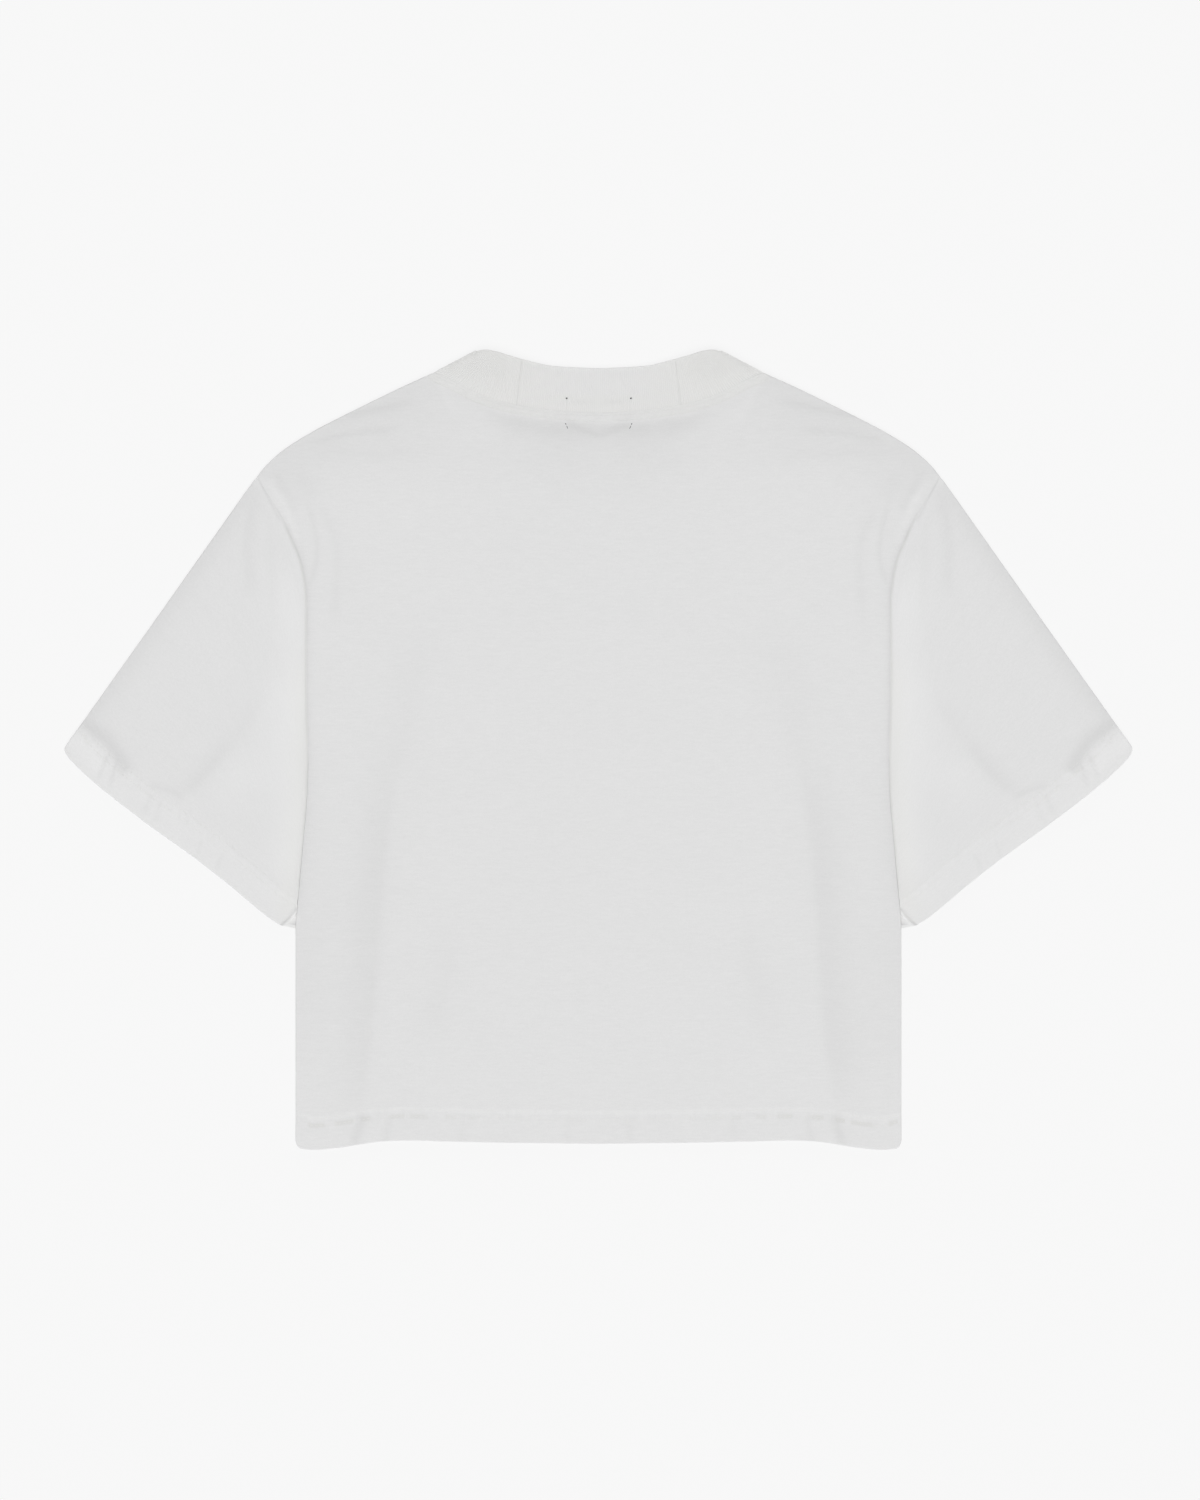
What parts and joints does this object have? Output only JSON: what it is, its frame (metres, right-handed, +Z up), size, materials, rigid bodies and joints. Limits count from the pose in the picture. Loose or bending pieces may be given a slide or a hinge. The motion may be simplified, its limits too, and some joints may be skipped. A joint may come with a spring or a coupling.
{
  "type": "cropped t-shirt",
  "caption": "Plain off-white cropped T-shirt with wide short sleeves and a ribbed crew neckband, laid flat with its back up.",
  "frame": {"origin": "middle of the footprint, on the surface that the garment lies on", "axes": "+X across the garment from cuff to cuff, +Y from the hem to the neck, +Z up from the surface through the back panel"},
  "size_m": [0.6948, 0.52, 0.0052],
  "materials": {
    "body_jersey": "off-white cotton single jersey, matte, with fine slub lines",
    "sleeve_jersey": "off-white cotton single jersey, matte",
    "neck_rib": "off-white cotton 1x1 rib, matte"
  },
  "bodies": {
    "root": {"back_panel": "body_jersey", "front_panel": "body_jersey", "sleeve_left": "sleeve_jersey", "sleeve_right": "sleeve_jersey", "neckband_back": "neck_rib", "neckband_front": "neck_rib"}
  },
  "joints": []
}
